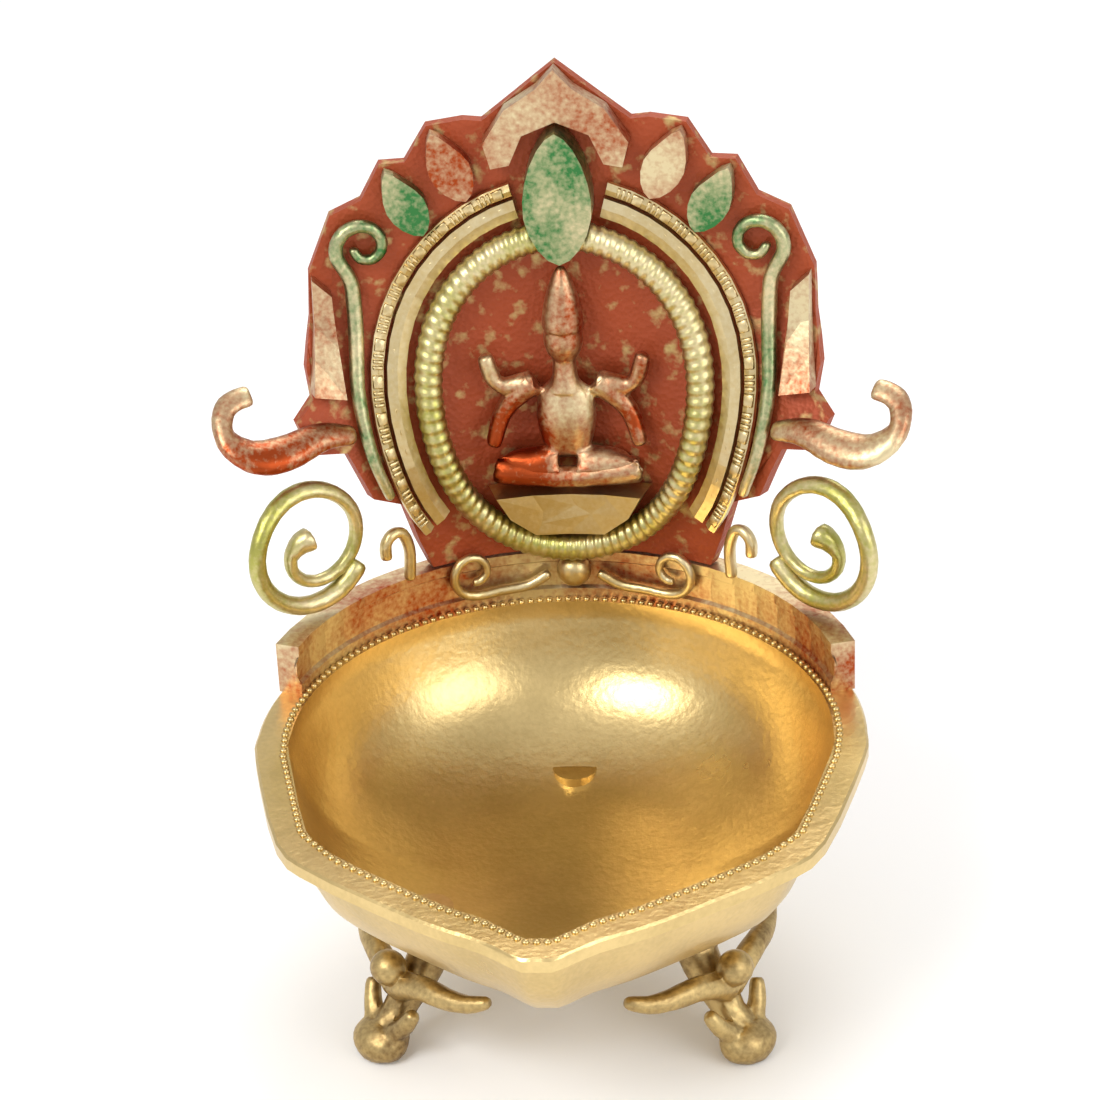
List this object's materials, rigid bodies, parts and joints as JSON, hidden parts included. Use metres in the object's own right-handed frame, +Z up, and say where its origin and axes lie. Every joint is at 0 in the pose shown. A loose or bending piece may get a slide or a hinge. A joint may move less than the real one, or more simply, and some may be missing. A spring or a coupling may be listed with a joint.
{
  "type": "oil lamp",
  "caption": "Footed brass oil lamp with a spouted open bowl and a tall ornamental back panel with a seated goddess medallion.",
  "frame": {"origin": "on the ground under the middle of the lamp's bounding box", "axes": "+Z up, spout towards -Y, back panel towards +Y"},
  "size_m": [0.152, 0.15, 0.1913],
  "materials": {
    "bowl": "satin",
    "panel": "satin, worn pale on raised parts",
    "recess": "red and green lacquer in the recesses",
    "feet": "antique, dark in the recesses",
    "screws": "plain"
  },
  "bodies": {
    "root": {"bowl": "bowl", "base_rail": "panel", "back_plate": "recess", "medallion_ring": "panel", "leaf_keystone": "panel", "crest": "panel", "lotus_seat": "panel", "goddess_figure": "panel", "centre_boss": "panel", "bead_band_left": "panel", "bar_band_left": "panel", "petal_upper_left": "panel", "petal_lower_left": "panel", "fern_scroll_left": "panel", "outer_feather_left": "panel", "horn_left": "panel", "side_loop_left": "panel", "inner_hook_left": "panel", "c_scroll_left": "panel", "bead_band_right": "panel", "bar_band_right": "panel", "petal_upper_right": "panel", "petal_lower_right": "panel", "fern_scroll_right": "panel", "outer_feather_right": "panel", "horn_right": "panel", "side_loop_right": "panel", "inner_hook_right": "panel", "c_scroll_right": "panel", "foot_front_left": "feet", "foot_screw_front_left": "screws", "foot_front_right": "feet", "foot_screw_front_right": "screws", "foot_back": "feet", "foot_screw_back": "screws", "rail_screw_1": "screws", "rail_screw_2": "screws", "rail_screw_3": "screws"}
  },
  "joints": []
}
